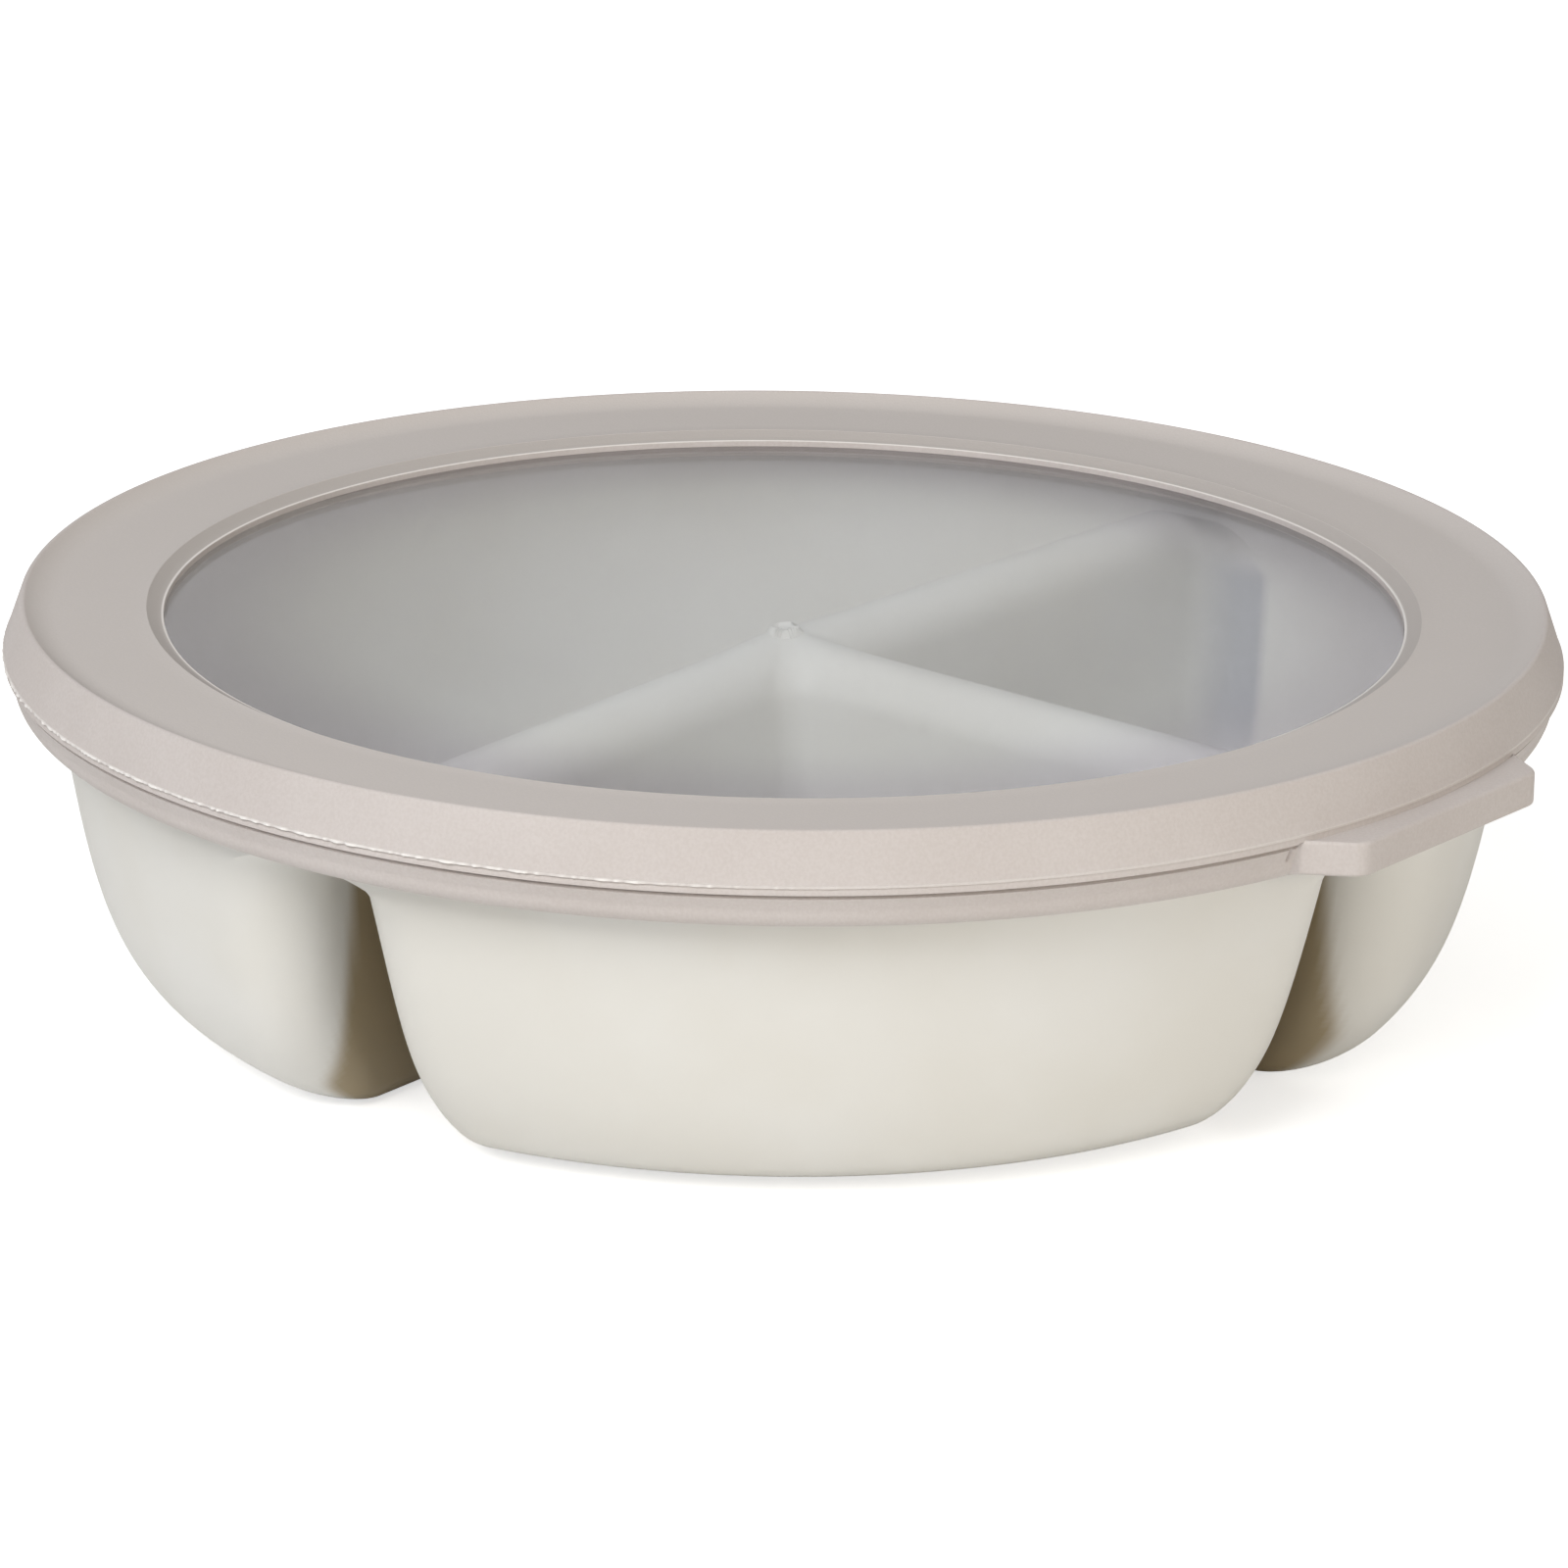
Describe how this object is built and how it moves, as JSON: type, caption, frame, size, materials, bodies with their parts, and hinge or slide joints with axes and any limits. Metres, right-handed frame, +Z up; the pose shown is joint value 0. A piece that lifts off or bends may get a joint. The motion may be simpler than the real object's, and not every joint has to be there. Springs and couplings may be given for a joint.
{
  "type": "bento bowl",
  "caption": "Round lunch bowl in ivory plastic with moulded-in compartments, and a lift-off lid with a soft taupe rim, a pull tab and a clear window.",
  "frame": {"origin": "middle of the part's outline on the plane that the bowl stands on; the bowl's axis is 1.9 mm behind it along -X, because the pull tab makes the outline longer on one side", "axes": "+Z up along the bowl's axis, +X along the divider that ends under the pull tab, out through the tab"},
  "size_m": [0.2088, 0.205, 0.054],
  "materials": {
    "bowl_plastic": "smooth satin ivory",
    "soft_rim": "matte taupe with a fine moulded grain",
    "clear_window": "clear gloss with a faint grey tint"
  },
  "bodies": {
    "bowl": {"bowl": "bowl_plastic"},
    "lid": {"lid_rim": "soft_rim", "lid_window": "clear_window"}
  },
  "joints": [
    {"name": "lid_lift", "type": "slide", "parent": "bowl", "child": "lid", "axis": [0, 0, 1], "range_m": [0, 0.06]}
  ]
}
